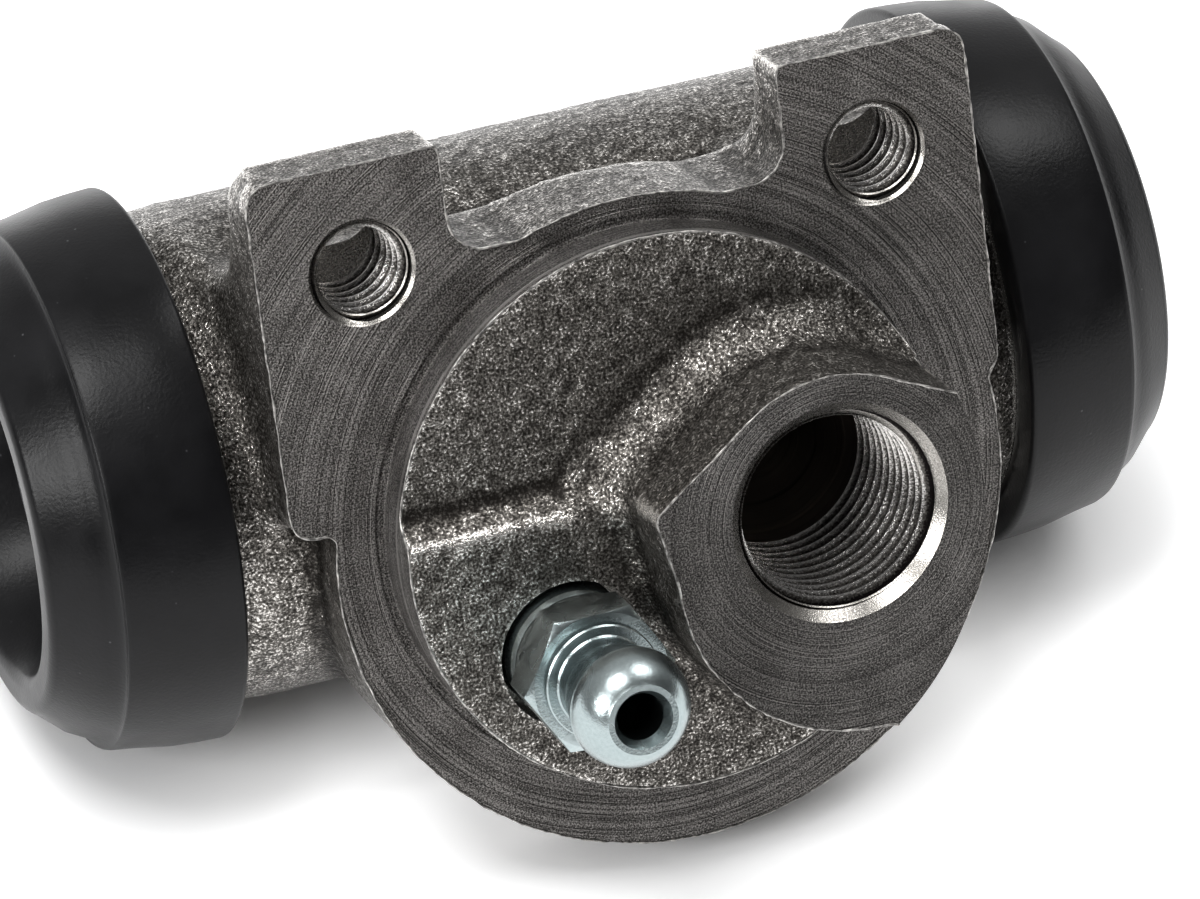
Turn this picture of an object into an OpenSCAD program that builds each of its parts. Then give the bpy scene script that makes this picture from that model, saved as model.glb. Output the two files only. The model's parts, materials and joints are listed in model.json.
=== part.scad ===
// Hydraulic wheel cylinder of a drum brake: an iron casting with a round spigot,
// two bolted ears, an inlet port, a bleed screw, two pistons and their rubber boots.
// Millimetres. Origin: spigot centre on the mounting face. +X along the cylinder bore,
// -Y out of the mounting face through the backing plate, +Z up towards the ears.

/* [Mounting flange] */
// Diameter of the spigot that centres the part in the backing plate
spigot_d = 33; // [32:0.25:35]
// Height of the cast disc inside the spigot above the mounting face
spigot_h = 2.55; // [2:0.05:3.2]
// Height of the raised half of the disc round the bleed screw
platform_h = 4.25; // [3.6:0.05:5.5]
// Height above the spigot centre where the raised half ends
platform_z = 2.9; // [1.5:0.1:3.5]
// Thickness of the flange and its ears
flange_t = 6; // [5:0.25:7]
// Width over the flange's straight sides
flange_w = 43.8; // [42:0.2:46]
// Height of the ears above the spigot centre
ear_top = 23.8; // [22.5:0.1:25.5]
// Width of one ear
ear_w = 11.6; // [10:0.1:12.5]
// Corner radius of the ears
ear_corner = 1.4; // [0.8:0.1:2]
// Radius of the round at the top of the ears' back
ear_back_round = 2; // [1:0.1:2.6]
// Radius at the root of the gap between the ears
gap_root = 2.2; // [1.5:0.1:3]
// Height of the floor of the gap between the ears above the spigot centre
gap_floor = 17.1; // [16.6:0.1:17.6]
// Width of the face left round the spigot between the ears
collar_w = 1.7; // [1.2:0.1:2.5]
// Height above the spigot centre where the straight sides end in a step
side_step_z = 2.3; // [1:0.1:4]
// Radius of the round lower half of the flange
ring_r = 20.5; // [19.5:0.1:21.5]
// Cast offset of the round lower half from the spigot, along X
ring_x = 0.9; // [0:0.1:1.2]
// Cast offset of the round lower half below the spigot
ring_drop = 1.2; // [0.5:0.1:1.8]

/* [Mounting holes] */
// Distance between the two threaded holes
bolt_spacing = 31.3; // [30:0.1:32.5]
// Height of the holes above the spigot centre
bolt_z = 17.4; // [16.8:0.1:18]
// Thread core diameter of the holes
bolt_d = 5; // [4:0.1:5.5]
// Diameter of the countersink at the mouth
bolt_mouth_d = 6.35; // [5.8:0.05:7]
// Depth of the threaded hole
bolt_depth = 6.8; // [5.5:0.1:7.4]

/* [Cylinder] */
// Bore of the cylinder
bore_d = 20.64; // [19:0.02:22.2]
// Outside diameter of the cast barrel
barrel_d = 29.8; // [28.6:0.1:31]
// Length of the barrel
barrel_len = 61; // [59:0.5:65]
// Distance of the bore axis behind the mounting face
axis_y = 18.4; // [17.5:0.1:19.5]
// Height of the bore axis above the spigot centre
axis_z = 2.1; // [1:0.1:3]
// Radius of the cast blend between flange and barrel
neck_blend = 5; // [4:0.25:6]
// Radius of the heavier blend behind the ears
ear_blend = 5.8; // [5.4:0.1:6.6]
// Radius of the cast blend at the sides of the flange
side_blend = 2; // [1:0.1:2.2]

/* [Inlet port] */
// Distance of the port from the spigot centre, along X
port_x = 7.45; // [6.5:0.05:8]
// Height of the port above the spigot centre
port_z = 0.4; // [-0.5:0.1:1.2]
// Height of the port's face above the mounting face
port_h = 10.45; // [9:0.05:12]
// Thread core diameter of the port
port_d = 10.92; // [9:0.02:11.4]
// Diameter of the chamfer at the port's mouth
port_mouth_d = 13.2; // [12.2:0.1:14]
// Depth of the threaded port
port_depth = 12; // [10:0.1:13]
// Diameter of the passage from the port to the bore
passage_d = 3; // [2:0.1:4]
// Radius of the boss over the port
boss_r = 8.3; // [7.8:0.05:8.8]
// Radius of the boss's skirt below the port
boss_skirt_r = 11.4; // [10.8:0.1:11.8]
// Distance of the skirt's centre from the port, along X
boss_skirt_x = 1.25; // [0.8:0.05:1.6]
// Distance of the skirt's centre below the port
boss_skirt_drop = 2.1; // [1.6:0.1:2.6]
// Distance of the boss's left point from the port, along X
boss_tail = 11.05; // [10.4:0.05:11.6]
// Height of the boss's left point above the port
boss_tail_rise = 2.3; // [1.6:0.1:3]
// Height above the port where the boss meets the spigot's edge
boss_right_rise = 3.95; // [3:0.05:5]
// Radius of the cast blend above the boss
boss_blend = 4; // [2:0.1:5]
// Radius of the cast blend between boss and raised half
boss_foot = 1.8; // [0.8:0.1:2.5]

/* [Bleed screw] */
// Distance of the bleed screw from the spigot centre, along X
bleed_x = 7.5; // [7:0.05:8]
// Distance of the bleed screw below the spigot centre
bleed_drop = 6.65; // [6:0.05:7]
// Thread diameter
bleed_d = 7; // [6:0.1:8]
// Width across the flats of the hexagon
hex_af = 8; // [7:0.1:9]
// Height of the hexagon's base above the mounting face
hex_base = 6; // [5.6:0.1:7]
// Thickness of the hexagon
hex_t = 3; // [2.5:0.1:4]
// Length of the hose nipple beyond the hexagon
nipple_len = 6.9; // [6:0.1:8]
// Largest diameter of the hose nipple
nipple_d = 7.1; // [6.6:0.1:7.4]
// Diameter of the hose nipple at its tip
nipple_tip_d = 4.2; // [4:0.1:5]
// Diameter of the drilling down the screw
bleed_bore_d = 2.8; // [2:0.1:3]
// Diameter of the recess round the screw
recess_d = 8.8; // [8.2:0.1:9.4]
// Depth of the recess round the screw
recess_depth = 3; // [1.5:0.1:3.5]
// Length of the screw's thread in the casting
bleed_grip = 6; // [5:0.1:6.5]

/* [Pistons] */
// Distance of a piston's outer end from the middle of the part
piston_reach = 31.2; // [30.4:0.1:31.8]
// Length of a piston
piston_len = 16.6; // [16:0.1:17.2]
// Diameter of a piston's nose
nose_d = 16.8; // [16:0.1:17.6]
// Length of a piston's nose
nose_len = 4; // [3.9:0.1:4.6]
// Depth of the groove that holds the boot's lip
lip_groove_depth = 1.2; // [0.8:0.1:1.6]
// Width of the slot for the brake shoe's web
shoe_slot_w = 6.2; // [5:0.1:7]
// Depth of the slot for the brake shoe's web
shoe_slot_depth = 2; // [1.6:0.1:2.2]
// Radial running clearance of a piston in the bore
piston_clear = 0.04; // [0.02:0.01:0.08]

/* [Boots] */
// Height of a boot's rim over the barrel
boot_rim_rise = 1.75; // [1.5:0.05:2.2]
// Height over the barrel of the ridge that ends a boot's band
boot_ridge_rise = 0.85; // [0.6:0.05:1.2]
// Depth of a boot's rounded shoulder below the barrel's surface
boot_shoulder_drop = 1.95; // [1.6:0.05:2.2]
// Depth of a boot's foremost crest below its shoulder
boot_crest_drop = 1.3; // [1.1:0.05:1.5]
// Length of the barrel that a boot covers
boot_cover = 6; // [5:0.1:6.4]
// Length of a boot's crest beyond the barrel
boot_nose = 4.75; // [4.4:0.05:5.5]
// Wall thickness of a boot
boot_wall = 1.3; // [1:0.05:1.5]
// Width of a boot's lip in the piston's groove
boot_lip_w = 1.4; // [1:0.1:1.6]
// Clearance of a boot on the barrel and the piston
boot_clear = 0.05; // [0.02:0.01:0.1]

/* [Cups and spring] */
// Thickness of a rubber cup's base
cup_base_t = 2.4; // [2:0.1:3]
// Length of a rubber cup's lip
cup_lip_len = 1.6; // [1:0.1:2.2]
// Thickness of the sheet of an expander
expander_t = 0.6; // [0.4:0.05:0.9]
// Outside diameter of the spring
spring_d = 10.4; // [9:0.1:12]
// Diameter of the spring's wire
spring_wire_d = 1.1; // [0.8:0.05:1.4]
// Turns of the spring
spring_turns = 7; // [5:1:9]
// Radial clearance of a cup in the bore
cup_clear = 0.03; // [0.02:0.01:0.08]
// Gap at each end of the spring
spring_gap = 0.05; // [0.02:0.01:0.2]

/* [Hidden] */
$fn = 96;

// Small overlap for cuts and joins
eps = 0.1;
// Share of its radius by which a cast blend cuts into the faces that it joins
blend_bite = 0.04;
corner_steps = 5;
drill_angle = 31;

spigot_r = spigot_d / 2;
collar_r = spigot_r + collar_w;
flange_half = flange_w / 2;
gap_half = flange_half - ear_w;
// The raised half ends in a wall that leans back by this much
platform_lean = 1.2;
relief_w = 0.6;
relief_depth = 0.1;
// Above the raised half the boss is turned down a little, as a lead-in for the backing plate
lead_in = 0.2;
lead_start = platform_h + lead_in;

bore_r = bore_d / 2;
barrel_r = barrel_d / 2;
barrel_half = barrel_len / 2;
// The barrel's ends are turned down under the boots
land_step = 0.7;
land_r = barrel_r - land_step;
land_edge = 0.5;
cast_edge = 0.3;
bead_groove_depth = 0.9;
bead_groove_w = 1.6;
bead_groove_end = barrel_half - bead_groove_w;
bore_edge = 0.6;

port_r = port_d / 2;
passage_r = passage_d / 2;
// The boss runs out to a point on the left and to the spigot's edge on the right
boss_point = [port_x - boss_tail, port_z + boss_tail_rise];
boss_overrun = 0.5;
boss_right = [spigot_r + boss_overrun, port_z + boss_right_rise];
skirt_centre = [port_x + boss_skirt_x, port_z - boss_skirt_drop];
skirt_left = [skirt_centre[0] - boss_skirt_r, skirt_centre[1]];
port_centre = [port_x, port_z];
boss_left_turn = touch_angle(boss_point, port_centre, boss_r, 1);
boss_right_turn = touch_angle(boss_right, port_centre, boss_r, -1);
boss_steps = 12;

bleed_r = bleed_d / 2;
bleed_clear = 0.05;
screw_r = bleed_r - bleed_clear;
bleed_bore_r = bleed_bore_d / 2;
recess_floor = platform_h - recess_depth;
bleed_bottom = recess_floor - bleed_grip;
hex_corner_r = hex_af / 2 / cos(30);
nipple_start = hex_base + hex_t;
nipple_end = nipple_start + nipple_len;
screw_hole_d = 1.6;

piston_r = bore_r - piston_clear;
piston_in = piston_reach - piston_len;
nose_r = nose_d / 2;
nose_start = piston_reach - nose_len;
lip_clear = 0.1;
// Width of the nose left in front of the groove
nose_rim = shoe_slot_depth + 0.2;
lip_groove_r = nose_r - lip_groove_depth;
lip_groove_end = piston_reach - nose_rim;
lip_groove_start = lip_groove_end - boot_lip_w - 2 * lip_clear;

boot_start = barrel_half - boot_cover;
boot_end = barrel_half + boot_nose;
land_start = boot_start - cast_edge;
boot_fit_r = land_r + boot_clear;
boot_rim_r = barrel_r + boot_rim_rise;
boot_ridge_r = barrel_r + boot_ridge_rise;
boot_shoulder_r = barrel_r - boot_shoulder_drop;
boot_crest_r = boot_shoulder_r - boot_crest_drop;
boot_ridge_at = barrel_half + 1;
boot_edge = 0.3;
boot_lip_r = lip_groove_r + boot_clear;
boot_lip_start = lip_groove_start + lip_clear;
boot_lip_end = boot_lip_start + boot_lip_w;
crest_round = 0.85;

cup_r = bore_r - cup_clear;
cup_floor = piston_in - cup_base_t;
cup_end = cup_floor - cup_lip_len;
expander_margin = 2.3;
expander_r = cup_r - expander_margin;
expander_seat = cup_floor - expander_t;
spring_r = (spring_d - spring_wire_d) / 2;
hub_clear = 0.3;
spring_hub_r = spring_r - spring_wire_d / 2 - hub_clear;
spring_half = expander_seat - spring_gap - spring_wire_d / 2;

iron = "#4a4744";
zinc = "#b9bcb8";
rubber = "#1b1b1d";
seal_rubber = "#262422";
piston_metal = "#a9abad";
spring_steel = "#8d8f92";

// A flat shape in X and Z, carried from y0 to y1
module along_y(y0, y1) {
    translate([0, y1, 0]) rotate([90, 0, 0]) linear_extrude(y1 - y0) children();
}

// A flat shape in Y and Z, carried from x0 to x1
module along_x(x0, x1) {
    translate([x0, 0, 0]) rotate([90, 0, 90]) linear_extrude(x1 - x0) children();
}

// A profile of radius and distance along +X, turned about the bore axis
module turned_x() {
    translate([0, axis_y, axis_z]) rotate([0, 90, 0]) rotate_extrude() children();
}

// A profile of radius and height out of the mounting face, turned about a line along Y
module turned_y(x, z) {
    translate([x, 0, z]) rotate([90, 0, 0]) rotate_extrude() children();
}

module both_sides() {
    children();
    mirror([1, 0, 0]) children();
}

module rounded_rect(low, high, r) {
    polygon(concat(
        arc([high[0] - r, high[1] - r], r, 0, 90, corner_steps),
        arc([low[0] + r, high[1] - r], r, 90, 180, corner_steps),
        arc([low[0] + r, low[1] + r], r, 180, 270, corner_steps),
        arc([high[0] - r, low[1] + r], r, 270, 360, corner_steps)));
}

// The concave corner between a wall at x = 0 and a floor at y = 0, which bites a little into both
module cove(r) {
    middle = r * (1 - blend_bite);
    difference() {
        translate([-eps, -eps]) square(r);
        translate([middle, middle]) circle(r);
    }
}

// A cove along the left of the line from p to q, on a floor of the given height
module straight_cove(p, q, r, floor_h) {
    run = q - p;
    translate([p[0], -floor_h, p[1]])
        rotate([0, -atan2(run[1], run[0]), 0])
            rotate([180, 0, 0])
                rotate([0, 90, 0])
                    linear_extrude(norm(run)) cove(r);
}

// Profile of a drilled hole from a mouth at height 0 down
module drilled_profile(r, mouth_r, depth) {
    polygon([[0, eps], [mouth_r, eps], [mouth_r, 0], [r, r - mouth_r], [r, -depth],
        [0, -depth - r * tan(drill_angle)]]);
}

// Angle of the point where a line from p touches the circle, on the left of p to c or on its right
function touch_angle(p, c, r, side) =
    let (run = p - c) atan2(run[1], run[0]) - side * acos(r / norm(run));

function arc(c, r, from, to, steps) =
    [for (i = [0:steps]) let (a = from + (to - from) * i / steps) c + r * [cos(a), sin(a)]];

// Body: flange

module flange_outline() {
    difference() {
        rounded_rect([-flange_half, side_step_z], [flange_half, ear_top], ear_corner);
        rounded_rect([-gap_half, gap_floor], [gap_half, ear_top + 4 * gap_root], gap_root);
    }
    circle(collar_r);
    intersection() {
        translate([ring_x, -ring_drop]) circle(ring_r);
        translate([-2 * ring_r, -2 * ring_r])
            square([4 * ring_r, 2 * ring_r + side_step_z + ear_corner]);
    }
}

// Side view that rounds the back edges of the ears and of the lower half
module flange_side() {
    low = -ring_drop - ring_r;
    polygon(concat([[-flange_t, low], [-flange_t, ear_top]],
        arc([flange_t - ear_back_round, ear_top - ear_back_round], ear_back_round, 90, 0, corner_steps),
        arc([flange_t - ear_corner, low + ear_corner], ear_corner, 0, -90, corner_steps)));
}

// Side view of the cast blend between the back of the flange and the barrel
module neck_side(r) {
    centre_y = flange_t + r;
    rise = sqrt(pow(barrel_r + r, 2) - pow(axis_y - centre_y, 2));
    difference() {
        polygon([[0, axis_z + rise], [centre_y, axis_z + rise], [axis_y, axis_z],
            [centre_y, axis_z - rise], [0, axis_z - rise]]);
        for (z = [axis_z - rise, axis_z + rise])
            translate([centre_y, z]) circle(r * (1 + blend_bite));
    }
}

module flange() {
    wide = flange_half + 1;
    intersection() {
        along_y(0, axis_y) flange_outline();
        union() {
            along_x(-wide, wide) {
                flange_side();
                neck_side(neck_blend);
            }
            both_sides() along_x(gap_half, wide) intersection() {
                neck_side(ear_blend);
                translate([0, axis_z]) square(2 * ear_top);
            }
        }
    }
}

// Cast blend from the flange's straight sides out to the barrel, on the flange's side only
module side_coves() {
    intersection() {
        both_sides() turned_x() translate([barrel_r, flange_half]) cove(side_blend);
        along_y(0, axis_y)
            translate([-barrel_half, side_step_z]) square([barrel_len, bolt_z - side_step_z]);
    }
}

// Body: barrel

module barrel() {
    turned_x() polygon([
        [0, -barrel_half], [land_r - land_edge, -barrel_half],
        [land_r, land_edge - barrel_half], [land_r, -land_start],
        [barrel_r - cast_edge, -land_start], [barrel_r, cast_edge - land_start],
        [barrel_r, land_start - cast_edge], [barrel_r - cast_edge, land_start],
        [land_r, land_start], [land_r, barrel_half - land_edge],
        [land_r - land_edge, barrel_half], [0, barrel_half]]);
}

// Grooves in the barrel's ends that hold the beads of the boots
module bead_grooves() {
    both_sides() turned_x()
        translate([land_r - bead_groove_depth, bead_groove_end - bead_groove_w])
            square([bead_groove_depth + eps, bead_groove_w]);
}

module bore_cut() {
    mouth_r = bore_r + bore_edge;
    turned_x() polygon([
        [0, -barrel_half - eps], [mouth_r, -barrel_half - eps], [mouth_r, -barrel_half],
        [bore_r, bore_edge - barrel_half], [bore_r, barrel_half - bore_edge],
        [mouth_r, barrel_half], [mouth_r, barrel_half + eps], [0, barrel_half + eps]]);
}

// Body: spigot, raised half and port boss

// Outline of the boss: a point on the left, an arc over the port, the spigot's edge, a round skirt
module boss_outline() {
    polygon(concat([boss_point],
        arc(port_centre, boss_r, boss_left_turn, boss_right_turn, boss_steps), [boss_right],
        arc(skirt_centre, boss_skirt_r, 0, -180, 2 * boss_steps)));
}

module boss_coves() {
    turned_y(port_x, port_z) translate([boss_r, spigot_h]) cove(boss_blend);
    straight_cove(boss_point, port_centre + boss_r * [cos(boss_left_turn), sin(boss_left_turn)],
        boss_blend, spigot_h);
    straight_cove(port_centre + boss_r * [cos(boss_right_turn), sin(boss_right_turn)], boss_right,
        boss_blend, spigot_h);
    straight_cove(skirt_left, boss_point, boss_foot, platform_h);
    intersection() {
        turned_y(skirt_centre[0], skirt_centre[1])
            translate([boss_skirt_r, platform_h]) cove(boss_foot);
        along_y(-port_h, 0) translate([-spigot_r, -2 * spigot_r])
            square([spigot_d, 2 * spigot_r + skirt_centre[1]]);
    }
}

// Everything inside the spigot's circle: the disc, its raised half and the port boss
module spigot() {
    wide = 2 * spigot_r;
    intersection() {
        turned_y(0, 0) polygon([[0, -eps], [spigot_r, -eps], [spigot_r, lead_start],
            [spigot_r - lead_in, lead_start + lead_in], [spigot_r - lead_in, port_h], [0, port_h]]);
        union() {
            along_x(-wide, wide) polygon([[2 * eps, -wide], [-platform_h, -wide],
                [-platform_h, platform_z - platform_lean], [-spigot_h, platform_z],
                [-spigot_h, wide], [2 * eps, wide]]);
            along_y(-port_h - eps, 0) boss_outline();
            boss_coves();
        }
    }
}

// Body: drillings

module mounting_holes() {
    both_sides() turned_y(bolt_spacing / 2, bolt_z)
        drilled_profile(bolt_d / 2, bolt_mouth_d / 2, bolt_depth);
}

module port_drilling() {
    turned_y(port_x, port_z) translate([0, port_h])
        drilled_profile(port_r, port_mouth_d / 2, port_depth);
    translate([port_x, 0, port_z]) rotate([-90, 0, 0]) cylinder(h = axis_y, r = passage_r);
}

// Recess, thread, conical seat and passage of the bleed screw
module bleed_drilling() {
    turned_y(-bleed_x, -bleed_drop) polygon([
        [0, platform_h + eps], [recess_d / 2, platform_h + eps], [recess_d / 2, recess_floor],
        [bleed_r, recess_floor], [bleed_r, bleed_bottom],
        [bleed_bore_r, bleed_bottom - bleed_r + bleed_bore_r], [bleed_bore_r, -axis_y], [0, -axis_y]]);
}

// Turned relief at the root of the spigot
module spigot_relief() {
    turned_y(0, 0) translate([spigot_r, -relief_depth]) square([relief_w, relief_depth + eps]);
}

module body() {
    color(iron) difference() {
        union() {
            flange();
            side_coves();
            barrel();
            spigot();
        }
        bore_cut();
        bead_grooves();
        spigot_relief();
        mounting_holes();
        port_drilling();
        bleed_drilling();
    }
}

// Bleed screw: seat, thread, shoulder, hexagon and hose nipple with a drilling down the middle
module bleed_screw() {
    seat_w = 0.3;
    seat_r = bleed_bore_r + seat_w;
    seat_end = bleed_bottom - bleed_r + seat_r + bleed_clear * 2;
    // The shoulder under the hexagon stands clear of the recess's floor
    shoulder_gap = 0.3;
    shoulder_start = recess_floor + shoulder_gap;
    shoulder_r = hex_af / 2 - eps;
    washer_t = 0.35;
    washer_margin = 0.55;
    washer_r = hex_af / 2 - washer_margin;
    // The nipple widens from its neck to its largest diameter and ends in a dome
    nipple_r = nipple_d / 2;
    neck_depth = 0.8;
    neck_r = nipple_r - neck_depth;
    neck_len = 1.4;
    dome_len = 2.4;
    dome_drop = (nipple_d - nipple_tip_d) / 2;
    dome_r = (pow(dome_drop, 2) + pow(dome_len, 2)) / (2 * dome_drop);
    hex_round = 0.55;
    hex_edge = (hex_round + eps) * tan(30);
    color(zinc) difference() {
        union() {
            turned_y(-bleed_x, -bleed_drop) polygon(concat(
                [[0, seat_end], [seat_r, seat_end], [screw_r, seat_end + screw_r - seat_r],
                [screw_r, shoulder_start], [shoulder_r, shoulder_start],
                [shoulder_r, hex_base + eps], [washer_r, hex_base + eps],
                [washer_r, nipple_start + washer_t], [neck_r, nipple_start + washer_t],
                [neck_r, nipple_start + neck_len]],
                arc([nipple_r - dome_r, nipple_end - dome_len], dome_r, 0, asin(dome_len / dome_r), 6),
                [[0, nipple_end]]));
            intersection() {
                translate([-bleed_x, -hex_base, -bleed_drop]) rotate([90, 0, 0])
                    cylinder(h = hex_t, r = hex_corner_r, $fn = 6);
                turned_y(-bleed_x, -bleed_drop) polygon([
                    [0, hex_base], [hex_corner_r - hex_round, hex_base],
                    [hex_corner_r + eps, hex_base + hex_edge],
                    [hex_corner_r + eps, nipple_start - hex_edge],
                    [hex_corner_r - hex_round, nipple_start], [0, nipple_start]]);
            }
        }
        bleed_screw_drillings(seat_end);
    }
}

module bleed_screw_drillings(seat_end) {
    cross_at = seat_end + screw_r;
    mouth_w = 0.35;
    mouth_depth = 0.6;
    mouth_r = bleed_bore_r + mouth_w;
    turned_y(-bleed_x, -bleed_drop) polygon([
        [0, cross_at - screw_hole_d / 2], [bleed_bore_r, cross_at],
        [bleed_bore_r, nipple_end - mouth_depth], [mouth_r, nipple_end], [mouth_r, nipple_end + eps],
        [0, nipple_end + eps]]);
    translate([-bleed_x, -cross_at - screw_hole_d / 2, -bleed_drop])
        cylinder(h = 2 * bleed_d, d = screw_hole_d, center = true);
}

// Boot: a band with a bead on the barrel, a rounded crest, a dished front and a lip on the piston
module boot() {
    band_taper = 0.15;
    ridge_step = 0.45;
    hollow_w = 0.8;
    bead_gap = 0.1;
    bead_r = boot_fit_r - bead_groove_depth + bead_gap;
    bead_end = bead_groove_end - bead_gap;
    bead_start = bead_groove_end - bead_groove_w + bead_gap;
    crest_at = boot_end - crest_round;
    dish_w = 1.5;
    dish_r = boot_lip_r + dish_w;
    dish_edge = 0.2;
    inner_round = 0.5;
    turned_x() polygon(concat(
        [[boot_fit_r, boot_start], [boot_rim_r - boot_edge, boot_start]],
        [[boot_rim_r, boot_start + boot_edge], [boot_rim_r - band_taper, boot_start + boot_cover / 2]],
        [[boot_ridge_r, boot_ridge_at], [boot_ridge_r - ridge_step, boot_ridge_at + band_taper]],
        [[boot_ridge_r - 2 * ridge_step, boot_ridge_at + hollow_w]],
        arc([boot_shoulder_r - crest_round, crest_at], crest_round, 25, 90, 6),
        arc([boot_crest_r - crest_round / 2, crest_at], crest_round, 90, 155, 6),
        [[dish_r, boot_lip_end + dish_edge], [dish_r - dish_edge, boot_lip_end]],
        [[boot_lip_r, boot_lip_end], [boot_lip_r, boot_lip_start]],
        [[dish_r + boot_wall / 2, boot_lip_start]],
        arc([boot_crest_r, boot_end - boot_wall - inner_round], inner_round, 150, 60, 5),
        [[boot_fit_r - hollow_w, barrel_half + hollow_w], [boot_fit_r, barrel_half + boot_edge]],
        [[boot_fit_r, bead_end], [bead_r, bead_end], [bead_r, bead_start], [boot_fit_r, bead_start]]));
}

module left_boot() {
    color(rubber) mirror([1, 0, 0]) boot();
}

module right_boot() {
    color(rubber) boot();
}

// Piston: a plain skirt, a nose with a groove for the boot and a slot for the shoe's web
module piston() {
    edge = 0.5;
    difference() {
        turned_x() polygon([
            [0, piston_in], [piston_r - edge, piston_in], [piston_r, piston_in + edge],
            [piston_r, nose_start - edge], [piston_r - edge, nose_start], [nose_r, nose_start],
            [nose_r, lip_groove_start], [lip_groove_r, lip_groove_start],
            [lip_groove_r, lip_groove_end], [nose_r, lip_groove_end],
            [nose_r, piston_reach - edge], [nose_r - edge, piston_reach], [0, piston_reach]]);
        translate([piston_reach - shoe_slot_depth, axis_y - shoe_slot_w / 2, axis_z - nose_d])
            cube([shoe_slot_depth + eps, shoe_slot_w, 2 * nose_d]);
    }
}

module left_piston() {
    color(piston_metal) mirror([1, 0, 0]) piston();
}

module right_piston() {
    color(piston_metal) piston();
}

// Cup: a rubber seal with a flared lip that faces the fluid
module cup() {
    waist = 0.25;
    lip_t = 0.9;
    lip_edge = 0.3;
    expander_gap = 0.4;
    turned_x() polygon([
        [0, piston_in], [cup_r - waist, piston_in], [cup_r - waist, cup_floor],
        [cup_r, cup_end + 2 * lip_edge], [cup_r - lip_edge, cup_end], [cup_r - lip_t, cup_end],
        [expander_r + expander_gap, cup_floor], [0, cup_floor]]);
}

module left_cup() {
    color(seal_rubber) mirror([1, 0, 0]) cup();
}

module right_cup() {
    color(seal_rubber) cup();
}

// Expander: a pressed dish that holds a cup's lip out, with a hub that centres the spring
module expander() {
    hub_h = 1.2;
    turned_x() polygon([
        [0, cup_floor], [expander_r, cup_floor], [expander_r, expander_seat],
        [spring_hub_r, expander_seat], [spring_hub_r - hub_clear, expander_seat - hub_h],
        [0, expander_seat - hub_h]]);
}

module left_expander() {
    color(piston_metal) mirror([1, 0, 0]) expander();
}

module right_expander() {
    color(piston_metal) expander();
}

// Spring: a wire swept along a helix whose end turns lie close
module return_spring() {
    steps = 14 * spring_turns;
    sides = 8;
    // How much closer than the middle ones the end turns lie
    bunching = 1 / 9;
    // Share of the spring's length reached at a share t of its turns
    function reach(t) = t - bunching * sin(360 * t);
    function ring(t) =
        let (turn = 360 * spring_turns * t, x = spring_half * (2 * reach(t) - 1))
        [for (k = [0:sides - 1])
            let (a = 360 * k / sides, r = spring_r + spring_wire_d / 2 * cos(a))
            [x + spring_wire_d / 2 * sin(a), r * cos(turn), r * sin(turn)]];
    points = [for (i = [0:steps]) each ring(i / steps)];
    walls = [for (i = [0:steps - 1], k = [0:sides - 1])
        let (next = (k + 1) % sides, base = i * sides)
        each [[base + k, base + sides + k, base + sides + next],
            [base + k, base + sides + next, base + next]]];
    start_cap = [[for (k = [0:sides - 1]) k]];
    end_cap = [[for (k = [0:sides - 1]) steps * sides + sides - 1 - k]];
    color(spring_steel) translate([0, axis_y, axis_z])
        polyhedron(points = points, faces = concat(walls, start_cap, end_cap));
}

body();
bleed_screw();
left_boot();
right_boot();
left_piston();
right_piston();
left_cup();
right_cup();
left_expander();
right_expander();
return_spring();
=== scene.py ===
import json
import math
from contextlib import contextmanager

import bmesh
import bpy
import numpy as np
from mathutils import Matrix, Vector, noise

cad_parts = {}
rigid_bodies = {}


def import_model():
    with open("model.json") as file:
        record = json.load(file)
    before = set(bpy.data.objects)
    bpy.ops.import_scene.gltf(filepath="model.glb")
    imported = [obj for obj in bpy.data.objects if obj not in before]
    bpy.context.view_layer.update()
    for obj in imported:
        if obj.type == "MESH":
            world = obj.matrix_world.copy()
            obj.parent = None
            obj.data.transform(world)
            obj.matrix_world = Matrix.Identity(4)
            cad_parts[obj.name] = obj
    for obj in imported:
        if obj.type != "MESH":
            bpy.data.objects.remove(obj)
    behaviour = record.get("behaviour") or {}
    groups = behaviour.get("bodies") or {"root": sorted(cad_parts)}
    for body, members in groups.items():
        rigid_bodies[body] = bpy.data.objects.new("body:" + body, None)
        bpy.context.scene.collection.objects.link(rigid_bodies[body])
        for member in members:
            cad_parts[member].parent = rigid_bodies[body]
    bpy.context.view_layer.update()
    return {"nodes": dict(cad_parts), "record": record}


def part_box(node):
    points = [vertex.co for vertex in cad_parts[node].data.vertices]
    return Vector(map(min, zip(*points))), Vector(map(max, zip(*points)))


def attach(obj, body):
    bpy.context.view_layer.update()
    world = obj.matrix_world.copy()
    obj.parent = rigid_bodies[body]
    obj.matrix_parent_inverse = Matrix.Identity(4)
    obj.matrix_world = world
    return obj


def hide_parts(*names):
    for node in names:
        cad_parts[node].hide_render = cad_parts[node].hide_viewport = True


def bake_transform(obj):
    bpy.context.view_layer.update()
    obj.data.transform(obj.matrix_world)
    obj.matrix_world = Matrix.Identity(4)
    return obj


# A drum brake's wheel cylinder: iron casting, plated bleed screw, rubber boots, pistons and spring.
# Sizes are in millimetres and become metres when a mesh is made.

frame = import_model()
MM = 0.001

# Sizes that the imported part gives

mounts = {mount["name"]: mount for mount in frame["record"]["mounts"]}


def mount_place(name):
    return Vector(mounts[name]["pos_m"]) / MM


def node_box(name):
    low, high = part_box(name)
    return low / MM, high / MM


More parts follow.
